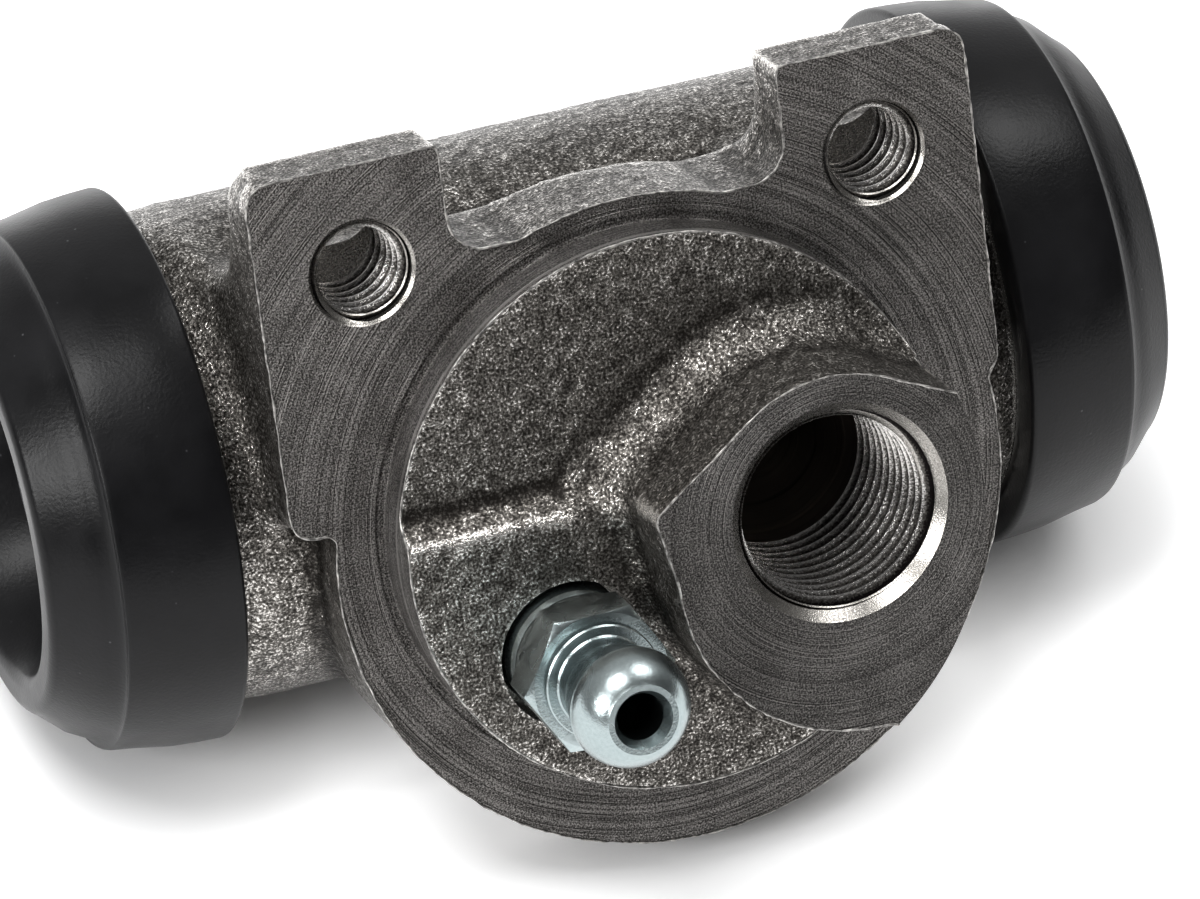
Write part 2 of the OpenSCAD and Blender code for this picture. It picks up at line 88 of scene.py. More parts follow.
ON_FACE = Vector((1, 0, 1))
OUT = Vector((0, -1, 0))
ALONG = Vector((1, 0, 0))
SPIGOT = Vector((0, 0, 0))
SPIGOT_R = mounts["spigot"]["dims"]["r_mm"]
PORT = mount_place("inlet_port") * ON_FACE
PORT_R = mounts["inlet_port"]["dims"]["r_mm"]
BOLT_R = mounts["mounting_hole_left"]["dims"]["r_mm"]
BOLTS = {side: mount_place(f"mounting_hole_{side}") * ON_FACE for side in ("left", "right")}
BLEED = mount_place("bleed_nipple") * ON_FACE
NIPPLE_END = -mount_place("bleed_nipple").y
AXIS = mount_place("right_shoe_seat") * Vector((0, 1, 1))
BARREL_HALF = node_box("body")[1].x
BOOT_START = node_box("right_boot")[0].x
BOOT_END = node_box("right_boot")[1].x
BOOT_RIM_R = (node_box("right_boot")[1].z - node_box("right_boot")[0].z) / 2
PORT_H = -node_box("body")[0].y
SPRING_HALF = node_box("return_spring")[1].x

# Sizes of the casting and its machining

STOCK = 0.8
PLUG_OVERLAP = 0.1
PORT_PLUG_OVERLAP = 0.3
PORT_PLUG_DEPTH = 3.0
BLEED_PLUG_START = -5.0
GRAIN_VOXEL = 0.36
SKIN_RELIEF = (("casting waves", 3.0, 0.10), ("casting grain", 0.8, 0.12))
FLANGE_T = 6.0
FLANGE_HALF = 21.9
EAR_W = 11.6
EAR_FOOT = 8.0
COVE_FRONT = 1.5
COVE_MARGIN = 1.0
COVE_SOFTENING = 120
LEDGE_END = Vector((-4.2, -4.3, 3.1))
LEDGE_END_R = 2.8
# Attribute for painted shade in the skin's hollows, and rubbed wear with a painted highlight on its edges
SHADE_AND_WEAR = "wear"
SHADE_AND_WEAR_REACH = 2
SHADE_AND_WEAR_DEPTH = 0.16
FACE_FEED = 0.085
WALL_LINE_AT = 2.0
WALL_BAND = 0.1
WALL_BACK = 0.25
RELIEF_W = 0.6
RELIEF_DEPTH = 0.1
REGISTER_H = mounts["spigot"]["dims"]["length_mm"] - RELIEF_DEPTH
LEAD_IN = 0.2
PORT_MOUTH_R = 6.6
PORT_THREAD_R = 6.02
PORT_FLOOR = -1.55
PASSAGE_R = 1.5
BOLT_MOUTH_R = 3.2
BOLT_THREAD_R = 3.02
BOLT_FLOOR = -6.8
THREAD_PITCH = 1.0
THREAD_STEPS = 64
LINING_T = 0.12
DRILL_SLOPE = math.tan(math.radians(31))
RECESS_R = 4.4
RECESS_FLOOR = 1.25
PLATFORM_H = 4.25
BLEED_THREAD_R = 3.5
BLEED_BOTTOM = -4.75
BORE_R = 10.32
BORE_EDGE = 0.6
LAND_R = 14.2
LAND_START = BOOT_START - 0.3
LAND_EDGE = 0.5
BEAD_R = 13.3
BEAD_START = 27.3
BEAD_END = 28.9
BURR_R = 0.075
BURR_LEAST = 0.25

# Reach of the cutters, steps of round forms, and the angles where shading stays sharp

BEYOND = 40.0
OVERCUT = 0.5
RUN_OUT = 1.0
TURN_STEPS = 128
WALL_STEPS = 192
ROD_SIDES = 64
WELD = 0.002
CAST_CREASE = math.radians(38)
TURNED_CREASE = math.radians(30)
BOOT_CREASE = math.radians(40)


# Modelling helpers

def only(obj):
    """Selects this object and no other, and makes it active."""
    bpy.ops.object.select_all(action="DESELECT")
    obj.select_set(True)
    bpy.context.view_layer.objects.active = obj


@contextmanager
def editing(obj, part="FACE"):
    """Opens the object in edit mode with nothing selected."""
    only(obj)
    bpy.ops.object.mode_set(mode="EDIT")
    bpy.ops.mesh.select_mode(type=part)
    bpy.ops.mesh.select_all(action="DESELECT")
    yield
    bpy.ops.object.mode_set(mode="OBJECT")


def pick(obj, kind, test):
    """Selects the faces, edges or verts of the mesh in edit mode that pass the test, and no others."""
    bpy.ops.mesh.select_all(action="DESELECT")
    mesh = bmesh.from_edit_mesh(obj.data)
    for element in getattr(mesh, kind):
        if test(element):
            element.select_set(True)
    bmesh.update_edit_mesh(obj.data)


def add_modifier(obj, kind, **values):
    """Adds a modifier with these values and applies it."""
    only(obj)
    bpy.ops.object.modifier_add(type=kind)
    modifier = obj.modifiers[-1]
    for name, value in values.items():
        setattr(modifier, name, value)
    bpy.ops.object.modifier_apply(modifier=modifier.name)


def set_down():
    """Moves the place of the object just added into its mesh."""
    bpy.ops.object.transform_apply(location=True, rotation=True, scale=True)
    return bpy.context.object


def close_up():
    """Welds the mesh in edit mode and turns its faces outwards."""
    bpy.ops.mesh.select_all(action="SELECT")
    bpy.ops.mesh.remove_doubles(threshold=WELD * MM)
    bpy.ops.mesh.normals_make_consistent(inside=False)


def smooth(obj, crease):
    """Shades the object smooth, with sharp edges where it turns by more than the crease angle."""
    only(obj)
    bpy.ops.object.shade_smooth_by_angle(angle=crease)


def trace(name, points):
    """A chain of edges through the points."""
    bpy.ops.object.select_all(action="DESELECT")
    bpy.ops.mesh.primitive_plane_add(size=MM)
    obj = bpy.context.object
    obj.name = name
    with editing(obj, "VERT"):
        bpy.ops.mesh.select_all(action="SELECT")
        bpy.ops.mesh.merge(type="CENTER")
        bpy.ops.transform.translate(value=points[0])
        for start, end in zip(points, points[1:]):
            bpy.ops.mesh.extrude_vertices_move(TRANSFORM_OT_translate={"value": end - start})
    return obj


def turned(name, profile, centre, axis, steps=TURN_STEPS):
    """A solid turned about the line through centre along axis, from (radius, distance) points."""
    side = Vector((0, 0, 1)) if abs(axis.x) > 0.5 else Vector((1, 0, 0))
    points = [(centre + axis * along + side * r) * MM for r, along in profile]
    if profile[0][0] > 0 or profile[-1][0] > 0:
        points.append(points[0])
    obj = trace(name, points)
    with editing(obj, "VERT"):
        bpy.ops.mesh.select_all(action="SELECT")
        bpy.ops.mesh.spin(steps=steps, angle=math.tau, center=centre * MM, axis=axis)
        close_up()
    return obj


def rod(name, radius, centre, axis, start, end):
    """A plain round bar along axis, from start to end."""
    bpy.ops.object.select_all(action="DESELECT")
    bpy.ops.mesh.primitive_cylinder_add(
        vertices=ROD_SIDES, radius=radius * MM, depth=(end - start) * MM,
        location=(centre + axis * (start + end) / 2) * MM,
        rotation=axis.to_track_quat("Z", "Y").to_euler())
    obj = set_down()
    obj.name = name
    return obj


def cut(obj, cutter, operation="DIFFERENCE"):
    """Cuts, joins or meets the object with the cutter, whose finish goes to the new faces."""
    add_modifier(obj, "BOOLEAN", operation=operation, solver="MANIFOLD", object=cutter,
                 material_mode="TRANSFER")
    bpy.data.objects.remove(cutter)


def join(obj, others):
    """Joins the other objects into this one's mesh."""
    only(obj)
    for other in others:
        other.select_set(True)
    bpy.ops.object.join()


def with_finish(obj, material):
    """Gives the object this material alone."""
    obj.data.materials.clear()
    obj.data.materials.append(material)
    return obj


def arc(centre, radius, first, last, steps):
    """Points (radius, distance) along an arc, with angles in degrees."""
    turns = [math.radians(first + (last - first) * i / steps) for i in range(steps + 1)]
    return [(centre[0] + radius * math.cos(a), centre[1] + radius * math.sin(a)) for a in turns]


def drilled(mouth_r, thread_r, face, floor):
    """Profile of a drilled hole with a 45 degree mouth in a face."""
    return [(0, face + OVERCUT), (mouth_r + OVERCUT, face + OVERCUT),
            (thread_r, face - mouth_r + thread_r), (thread_r, floor),
            (0, floor - thread_r * DRILL_SLOPE)]


def radius_of(point):
    """Distance of a point from the spigot's axis."""
    return math.hypot(point.x, point.z) / MM


# Materials

def socket(group, name, kind, way, value=None):
    item = group.interface.new_socket(name=name, in_out=way, socket_type=kind)
    if value is not None:
        item.default_value = value


class Nodes:
    """Adds and links nodes in one tree. An input called _2 is the node's third one."""

    def __init__(self, tree):
        self.tree = tree

    def add(self, kind, settings=None, **inputs):
        node = self.tree.nodes.new(kind)
        for name, value in (settings or {}).items():
            setattr(node, name, value)
        for name, value in inputs.items():
            target = node.inputs[int(name[1:])] if name[0] == "_" else node.inputs[name]
            if isinstance(value, bpy.types.NodeSocket):
                self.tree.links.new(value, target)
            else:
                target.default_value = value
        return node

    def math(self, operation, *values):
        inputs = {f"_{i}": value for i, value in enumerate(values)}
        return self.add("ShaderNodeMath", {"operation": operation}, **inputs).outputs[0]

    def ramp(self, value, *stops):
        node = self.add("ShaderNodeValToRGB", Fac=value)
        while len(node.color_ramp.elements) < len(stops):
            node.color_ramp.elements.new(0.5)
        for element, (place, colour) in zip(node.color_ramp.elements, stops):
            element.position = place
            element.color = colour if len(colour) == 4 else (*colour, 1)
        return node.outputs["Color"]

    def spread(self, value, low, high, out_low=0.0, out_high=1.0):
        """Maps low..high to out_low..out_high, and holds the ends."""
        node = self.add("ShaderNodeMapRange")
        self.tree.links.new(value, node.inputs["Value"])
        for name, number in (("From Min", low), ("From Max", high),
                             ("To Min", out_low), ("To Max", out_high)):
            node.inputs[name].default_value = number
        return node.outputs["Result"]

    def distance_from(self, place, centre):
        """Distance from a line along Y through the centre."""
        offset = self.add("ShaderNodeVectorMath", {"operation": "SUBTRACT"}, _0=place, _1=centre)
        flat = self.add("ShaderNodeVectorMath", {"operation": "MULTIPLY"}, _0=offset.outputs["Vector"],
                        _1=(1, 0, 1))
        length = self.add("ShaderNodeVectorMath", {"operation": "LENGTH"}, _0=flat.outputs["Vector"])
        return length.outputs["Value"]

    def noise(self, vector, scale, detail=2.0, roughness=0.5):
        node = self.add("ShaderNodeTexNoise", Vector=vector, Scale=scale, Detail=detail,
                        Roughness=roughness)
        return node.outputs["Fac"]


def new_group(name, inputs, outputs):
    group = bpy.data.node_groups.new(name, "ShaderNodeTree")
    for key, (kind, value) in inputs.items():
        socket(group, key, kind, "INPUT", value)
    for key, kind in outputs.items():
        socket(group, key, kind, "OUTPUT")
    nodes = Nodes(group)
    source = nodes.add("NodeGroupInput").outputs
    sink = nodes.add("NodeGroupOutput").inputs
    return group, nodes, source, sink


FLOAT = "NodeSocketFloat"
VECTOR = "NodeSocketVector"
PER_MM = 1 / MM


def make_sand_grain():
    """Sand-cast skin: fine grains, pits and broad patches."""
    group, nodes, source, sink = new_group(
        "sand grain", {"Vector": (VECTOR, None), "Size": (FLOAT, 0.3)},
        {"Height": FLOAT, "Tone": FLOAT})
    per_grain = nodes.math("DIVIDE", PER_MM, source["Size"])
    grain = nodes.noise(source["Vector"], per_grain, 3.0, 0.6)
    cells = nodes.add("ShaderNodeTexVoronoi", {"feature": "SMOOTH_F1"}, Vector=source["Vector"],
                      Scale=nodes.math("MULTIPLY", per_grain, 1.3)).outputs["Distance"]
    height = nodes.math("ADD", grain, nodes.math("MULTIPLY", cells, -0.5))
    patches = nodes.noise(source["Vector"], nodes.math("MULTIPLY", per_grain, 0.06), 3.0)
    tone = nodes.math("ADD", nodes.spread(grain, 0.3, 0.7), nodes.spread(patches, 0.3, 0.7, -0.06, 0.06))
    nodes.tree.links.new(height, sink["Height"])
    nodes.tree.links.new(tone, sink["Tone"])
    return group


def make_tool_rings():
    """Rings that a turning tool leaves round a centre on the mounting side, with broken scratches."""
    group, nodes, source, sink = new_group(
        "tool rings", {"Vector": (VECTOR, None), "Centre": (VECTOR, None), "Feed": (FLOAT, 0.25)},
        {"Height": FLOAT, "Tone": FLOAT})
    height = nodes.add("ShaderNodeSeparateXYZ", Vector=source["Vector"]).outputs["Y"]
    radius = nodes.math("ADD", nodes.distance_from(source["Vector"], source["Centre"]), height)
    wander = nodes.noise(source["Vector"], 0.12 * PER_MM, 1.0)
    radius = nodes.math("ADD", radius, nodes.math("MULTIPLY", wander, 0.3 * MM))
    per_feed = nodes.math("DIVIDE", PER_MM, source["Feed"])

    def rings(scale, detail):
        return nodes.add("ShaderNodeTexNoise", {"noise_dimensions": "1D"},
                         W=nodes.math("MULTIPLY", radius, scale), Scale=1.0, Detail=detail,
                         Roughness=0.7).outputs["Fac"]

    fine = rings(per_feed, 3.0)
    broad = rings(nodes.math("MULTIPLY", per_feed, 0.15), 1.0)
    broken = nodes.noise(source["Vector"], 0.22 * PER_MM, 3.0)
    ridges = nodes.spread(fine, 0.52, 0.74)
    grooves = nodes.spread(fine, 0.46, 0.26)
    lines = nodes.math("MULTIPLY", nodes.math("SUBTRACT", ridges, grooves),
                       nodes.spread(broken, 0.40, 0.66, 0.3, 1.0))
    tone = nodes.math("ADD", nodes.spread(lines, -1, 1), nodes.spread(broad, 0.3, 0.7, -0.05, 0.05))
    nodes.tree.links.new(lines, sink["Height"])
    nodes.tree.links.new(tone, sink["Tone"])
    return group


def make_dust():
    """Scattered specks and soft smudges."""
    group, nodes, source, sink = new_group(
        "dust", {"Vector": (VECTOR, None), "Size": (FLOAT, 0.25)}, {"Specks": FLOAT, "Smudge": FLOAT})
    per_speck = nodes.math("DIVIDE", PER_MM, source["Size"])
    cells = nodes.add("ShaderNodeTexVoronoi", Vector=source["Vector"],
                      Scale=nodes.math("MULTIPLY", per_speck, 0.3))
    chance = nodes.add("ShaderNodeSeparateColor", Color=cells.outputs["Color"]).outputs[0]
    near = nodes.spread(cells.outputs["Distance"], 0.05, 0.16, 1.0, 0.0)
    specks = nodes.math("MULTIPLY", near, nodes.math("GREATER_THAN", chance, 0.82))
    smudge = nodes.spread(nodes.noise(source["Vector"], nodes.math("MULTIPLY", per_speck, 0.04), 4.0),
                          0.35, 0.7)
    nodes.tree.links.new(specks, sink["Specks"])
    nodes.tree.links.new(smudge, sink["Smudge"])
    return group


sand_grain = make_sand_grain()
tool_rings = make_tool_rings()
dust = make_dust()


def new_material(name, **principled):
    """A material with a Principled shader, its node helper and Object coordinates."""
    material = bpy.data.materials.new(name)
    material.use_nodes = True
    nodes = Nodes(material.node_tree)
    shader = material.node_tree.nodes["Principled BSDF"]
    for key, value in principled.items():
        shader.inputs[key.replace("_", " ")].default_value = value
    place = nodes.add("ShaderNodeTexCoord").outputs["Object"]
    return material, nodes, shader, place


def use_group(nodes, group, **inputs):
    return nodes.add("ShaderNodeGroup", {"node_tree": group}, **inputs).outputs


def dress(nodes, shader, colour, roughness, height, depth):
    """Links colour and roughness, and a bump of the given depth in mm."""
    bump = nodes.add("ShaderNodeBump", Height=height, Strength=1.0, Distance=depth * MM)
    for source, target in ((colour, "Base Color"), (roughness, "Roughness"), (bump.outputs[0], "Normal")):
        nodes.tree.links.new(source, shader.inputs[target])


def make_cast_iron():
    """Sand-cast skin, with painted shade in its hollows and edges made bright by rubbed wear and a painted
    highlight.
    """
    material, nodes, shader, place = new_material("cast iron", Metallic=0.85)
    grain = use_group(nodes, sand_grain, Vector=place, Size=0.17)
    marks = use_group(nodes, dust, Vector=place, Size=0.13)
    # Hollows are darkened as painted shade; edges are lightened as rubbed wear and a painted highlight
    wear = nodes.add("ShaderNodeAttribute", {"attribute_name": SHADE_AND_WEAR}).outputs["Fac"]
    tone = nodes.math("ADD", nodes.spread(grain["Tone"], 0, 1, 0.07, 0.85),
                      nodes.spread(wear, 0, 1, -0.5, 0.5))
    tone = nodes.math("ADD", tone, nodes.math("MULTIPLY", marks["Specks"], 0.6))
    colour = nodes.ramp(tone, (0.15, (0.014, 0.012, 0.010)), (0.43, (0.075, 0.069, 0.062)),
                        (0.62, (0.21, 0.197, 0.18)), (0.82, (0.84, 0.81, 0.77)))
    dress(nodes, shader, colour, nodes.spread(tone, 0.2, 0.8, 0.50, 0.20), grain["Height"], 0.07)
    return material


def make_turned_iron(name, centre, feed, pale):
    """A face with tool rings round its centre, whose brightest lines have the given tone."""
    material, nodes, shader, place = new_material(name, Metallic=0.85)
    rings = use_group(nodes, tool_rings, Vector=place, Centre=centre * MM, Feed=feed)
    grain = use_group(nodes, sand_grain, Vector=place, Size=0.11)
    tone = nodes.math("ADD", nodes.math("MULTIPLY", rings["Tone"], 0.75),
                      nodes.math("MULTIPLY", grain["Tone"], 0.55))
    height = nodes.add("ShaderNodeSeparateXYZ", Vector=place).outputs["Y"]
    off_line = nodes.math("ABSOLUTE", nodes.math("ADD", height, WALL_LINE_AT * MM))
    line = nodes.spread(off_line, 0.08 * MM, 0.2 * MM, 0.35, 0.0)
    tone = nodes.math("ADD", tone, line)
    colour = nodes.ramp(tone, *((stop, [share * pale for share in colour]) for stop, colour in (
        (0.46, (0.05, 0.046, 0.041)), (0.65, (0.29, 0.272, 0.258)), (0.82, (1.0, 0.95, 0.905)))))
    relief = nodes.math("ADD", rings["Height"], grain["Height"])
    dress(nodes, shader, colour, nodes.spread(tone, 0.2, 0.8, 0.50, 0.30), relief, 0.035)
    return material


def make_cut_iron():
    """Bright drilled, tapped and bored surfaces."""
    material, nodes, shader, place = new_material("cut iron", Metallic=0.95)
    grain = use_group(nodes, sand_grain, Vector=place, Size=0.1)
    colour = nodes.ramp(grain["Tone"], (0.1, (0.20, 0.188, 0.172)), (1.0, (0.50, 0.48, 0.45)))
    dress(nodes, shader, colour, nodes.spread(grain["Tone"], 0, 1, 0.34, 0.18), grain["Height"], 0.012)
    return material


def make_shaded_drilled_floor():
    """Brownish floor of the port, with rings from the drill's point, kept dark as painted shade deep in the
    port.
    """
    material, nodes, shader, place = new_material("drilled floor", Metallic=0.8)
    rings = use_group(nodes, tool_rings, Vector=place, Centre=PORT * MM, Feed=0.3)
    marks = use_group(nodes, dust, Vector=place, Size=0.6)
    tone = nodes.math("MULTIPLY", rings["Tone"], nodes.spread(marks["Smudge"], 0, 1, 0.5, 1.0))
    colour = nodes.ramp(tone, (0.1, (0.020, 0.016, 0.013)), (1.0, (0.10, 0.078, 0.062)))
    dress(nodes, shader, colour, nodes.spread(tone, 0, 1, 0.5, 0.3), rings["Height"], 0.04)
    return material


def make_thread_iron_with_shaded_roots(name, centre, crest_r, root_r):
    """Tapped thread, bright on its crests, with painted shade darkening its roots."""
    material, nodes, shader, place = new_material(name, Metallic=0.95)
    radius = nodes.distance_from(place, centre * MM)
    crest = nodes.spread(radius, root_r * MM, crest_r * MM)
    grain = use_group(nodes, sand_grain, Vector=place, Size=0.12)
    tone = nodes.math("ADD", crest, nodes.spread(grain["Tone"], 0, 1, -0.25, 0.25))
    # Near-black roots are painted shade
    colour = nodes.ramp(tone, (0.32, (0.004, 0.003, 0.003)), (0.68, (0.10, 0.093, 0.085)),
                        (0.95, (0.64, 0.62, 0.60)))
    dress(nodes, shader, colour, nodes.spread(crest, 0, 1, 0.42, 0.2), grain["Height"], 0.02)
    return material


def make_burr_metal():
    material, nodes, shader, place = new_material("burr metal", Metallic=0.9)
    grain = use_group(nodes, sand_grain, Vector=place, Size=0.5)
    colour = nodes.ramp(grain["Tone"], (0.2, (0.12, 0.115, 0.11)), (0.9, (0.62, 0.60, 0.57)))
    dress(nodes, shader, colour, nodes.spread(grain["Tone"], 0, 1, 0.5, 0.3), grain["Height"], 0.03)
    return material


def make_zinc_plate():
    material, nodes, shader, place = new_material("zinc plate", Metallic=1.0)
    marks = use_group(nodes, dust, Vector=place, Size=0.35)
    grain = use_group(nodes, sand_grain, Vector=place, Size=0.18)
    colour = nodes.ramp(nodes.math("ADD", nodes.math("MULTIPLY", marks["Smudge"], 0.7),
                                   nodes.math("MULTIPLY", grain["Tone"], 0.3)),
                        (0.0, (0.27, 0.325, 0.33)), (1.0, (0.46, 0.52, 0.525)))
    dress(nodes, shader, colour, nodes.spread(marks["Smudge"], 0, 1, 0.20, 0.34), grain["Height"], 0.008)
    return material


def make_rubber(name, dark, pale, shine):
    material, nodes, shader, place = new_material(name, Specular_IOR_Level=0.17)
    marks = use_group(nodes, dust, Vector=place, Size=0.22)
    grain = use_group(nodes, sand_grain, Vector=place, Size=0.25)
    tone = nodes.math("ADD", nodes.math("MULTIPLY", marks["Smudge"], 0.5),
                      nodes.math("MULTIPLY", marks["Specks"], 0.5))
    colour = nodes.ramp(tone, (0.0, dark), (0.6, pale), (1.0, (0.09, 0.09, 0.095)))
    roughness = nodes.spread(marks["Smudge"], 0, 1, shine, shine + 0.12)
    dress(nodes, shader, colour, roughness, grain["Height"], 0.012)
    return material


def make_bare_metal(name, dark, pale, roughness, ringed):
    """Bare metal with fine rings round the bore's axis, or with an even grain."""
    material, nodes, shader, place = new_material(name, Metallic=1.0)
    stretch = nodes.add("ShaderNodeMapping", Vector=place, Scale=(6, 1, 1) if ringed else (1, 1, 1))
    lines = nodes.noise(stretch.outputs[0], 1.2 * PER_MM, 3.0)
    marks = use_group(nodes, dust, Vector=place, Size=0.4)
    colour = nodes.ramp(nodes.math("ADD", nodes.math("MULTIPLY", lines, 0.6),
                                   nodes.math("MULTIPLY", marks["Smudge"], 0.4)), (0.2, dark), (0.8, pale))
    dress(nodes, shader, colour, nodes.spread(lines, 0.3, 0.7, roughness, roughness + 0.15), lines, 0.01)
    return material


cast_iron = make_cast_iron()
turned_iron = make_turned_iron("turned mounting face", SPIGOT, FACE_FEED, 0.31)
# The port face is the same turned iron at a lower tone: painted shade
port_iron_painted_darker = make_turned_iron("turned port face", PORT, FACE_FEED, 0.18)
drilled_floor_painted_dark = make_shaded_drilled_floor()
cut_iron = make_cut_iron()
burr_metal = make_burr_metal()
zinc_plate = make_zinc_plate()
boot_rubber = make_rubber("boot rubber", (0.004, 0.004, 0.0045), (0.010, 0.010, 0.011), 0.29)
cup_rubber = make_rubber("cup rubber", (0.014, 0.013, 0.012), (0.030, 0.028, 0.026), 0.45)
piston_metal = make_bare_metal("piston metal", (0.26, 0.27, 0.28), (0.44, 0.45, 0.46), 0.3, True)
spring_steel = make_bare_metal("spring steel", (0.25, 0.25, 0.26), (0.48, 0.48, 0.49), 0.3, False)


# Casting

def faces_looking(direction, place):
    """A test for faces that look along a direction and lie at a distance along it."""
    def test(face):
        middle = face.calc_center_median() / MM
        return face.normal.dot(direction) > 0.99 and abs(middle.dot(direction) - place) < 0.02
    return test


def pour_blank():
    """The rough casting: the solid with stock on its machined faces and its holes filled."""
    blank = bpy.data.objects.new("casting", frame["nodes"]["body"].data.copy())
    bpy.context.collection.objects.link(blank)
    blank.data.materials.clear()
    with editing(blank):
        close_up()
        for direction, place in ((OUT, 0), (OUT, PORT_H), (ALONG, BARREL_HALF), (-ALONG, BARREL_HALF)):
            pick(blank, "faces", faces_looking(direction, place))
            bpy.ops.mesh.extrude_region_move(
                TRANSFORM_OT_translate={"value": direction * STOCK * MM})
        bpy.ops.mesh.select_mode(type="VERT")
        low = SPIGOT_R - LEAD_IN - WALL_BAND
        high = SPIGOT_R + WALL_BAND
        pick(blank, "verts", lambda v: low < radius_of(v.co) < high and v.co.y < WALL_BACK * MM)
        grown = 1 + RELIEF_W / SPIGOT_R
        bpy.ops.transform.resize(value=(grown, 1, grown), center_override=(0, 0, 0))
    end = BARREL_HALF + STOCK
    plugs = [rod("plug", PORT_MOUTH_R + PORT_PLUG_OVERLAP, PORT, OUT, PORT_FLOOR - PORT_PLUG_DEPTH,
                 PORT_H + STOCK),
             rod("plug", RECESS_R + PLUG_OVERLAP, BLEED, OUT, BLEED_PLUG_START, PLATFORM_H),
             rod("plug", BORE_R + BORE_EDGE + PLUG_OVERLAP, AXIS, ALONG, -end, end)]
    for place in BOLTS.values():
        plugs.append(rod("plug", BOLT_MOUTH_R + PLUG_OVERLAP, place, OUT, BOLT_FLOOR + RUN_OUT, STOCK))
    join(blank, plugs)
    return blank


def soften_coves(blank):
    """Softens the hollows beside the flange, the backs of its ears and the end of the ledge at the port."""
    def in_cove(vertex):
        place = vertex.co / MM
        across = abs(place.x)
        beside_flange = across > FLANGE_HALF - COVE_MARGIN and place.y > COVE_FRONT
        behind_ear = (across > FLANGE_HALF - EAR_W - COVE_MARGIN and place.z > EAR_FOOT
                      and place.y > FLANGE_T - 2 * COVE_MARGIN)
        at_ledge = (place - LEDGE_END).length < LEDGE_END_R
        return across < BOOT_START + COVE_MARGIN and (beside_flange or behind_ear or at_ledge)

    coves = blank.vertex_groups.new(name="coves")
    coves.add([v.index for v in blank.data.vertices if in_cove(v)], 1.0, "REPLACE")
    add_modifier(blank, "SMOOTH", factor=0.5, iterations=COVE_SOFTENING, vertex_group=coves.name)


def sand_skin(blank):
    """Turns the sharp blank into a casting with soft edges and a grainy skin."""
    add_modifier(blank, "REMESH", mode="VOXEL", voxel_size=GRAIN_VOXEL * MM)
    add_modifier(blank, "SMOOTH", factor=0.5, iterations=1)
    soften_coves(blank)
    for name, size, depth in SKIN_RELIEF:
        texture = bpy.data.textures.new(name, "CLOUDS")
        texture.noise_scale = size * MM
        add_modifier(blank, "DISPLACE", texture=texture, strength=depth * MM, mid_level=0.5)
    with_finish(blank, cast_iron)


def turn_away(casting, name, profile, centre, axis, finish, steps=TURN_STEPS):
    """Cuts a turned form out of the casting and leaves its finish on the cut."""
    cut(casting, with_finish(turned(name, profile, centre, axis, steps), finish))


def face_front(casting):
    """Turns the mounting face and the spigot's wall, and faces the port boss."""
    beyond = BEYOND / 3
    spigot_ring = [(SPIGOT_R - LEAD_IN, beyond), (BEYOND, beyond), (BEYOND, 0), (SPIGOT_R + RELIEF_W, 0),
                   (SPIGOT_R + RELIEF_W, -RELIEF_DEPTH), (SPIGOT_R, -RELIEF_DEPTH),
                   (SPIGOT_R, REGISTER_H), (SPIGOT_R - LEAD_IN, REGISTER_H + LEAD_IN)]
    turn_away(casting, "spigot cutter", spigot_ring, SPIGOT, OUT, turned_iron, WALL_STEPS)
    facer = [(0, PORT_H), (BEYOND, PORT_H), (BEYOND, beyond), (0, beyond)]
    turn_away(casting, "facing cutter", facer, PORT, OUT, port_iron_painted_darker)


def drill_holes(casting):
    """Drills the port, its passage, the bolt holes and the bleed screw's hole."""
    mouth_end = PORT_H - PORT_MOUTH_R + PORT_THREAD_R
    mouth = [(0, PORT_H + OVERCUT), (PORT_MOUTH_R + OVERCUT, PORT_H + OVERCUT), (PORT_THREAD_R, mouth_end),
             (0, mouth_end)]
    turn_away(casting, "port countersink", mouth, PORT, OUT, cut_iron)
    port = [(0, PORT_H), (PORT_THREAD_R, PORT_H), (PORT_THREAD_R, mouth_end), (PORT_THREAD_R, PORT_FLOOR),
            (0, PORT_FLOOR - PORT_THREAD_R * DRILL_SLOPE)]
    turn_away(casting, "port drill", port, PORT, OUT, drilled_floor_painted_dark)
    cut(casting, with_finish(rod("passage drill", PASSAGE_R, PORT, OUT, -AXIS.y, PORT_FLOOR), cut_iron))
    for place in BOLTS.values():
        hole = drilled(BOLT_MOUTH_R, BOLT_THREAD_R, 0, BOLT_FLOOR)
        turn_away(casting, "bolt drill", hole, place, OUT, cut_iron)
    bleed = [(0, PLATFORM_H + RUN_OUT), (RECESS_R, PLATFORM_H + RUN_OUT), (RECESS_R, RECESS_FLOOR),
             (BLEED_THREAD_R, RECESS_FLOOR), (BLEED_THREAD_R, BLEED_BOTTOM),
             (PASSAGE_R, BLEED_BOTTOM - BLEED_THREAD_R + PASSAGE_R), (PASSAGE_R, -AXIS.y), (0, -AXIS.y)]
    turn_away(casting, "bleed drill", bleed, BLEED, OUT, cut_iron)


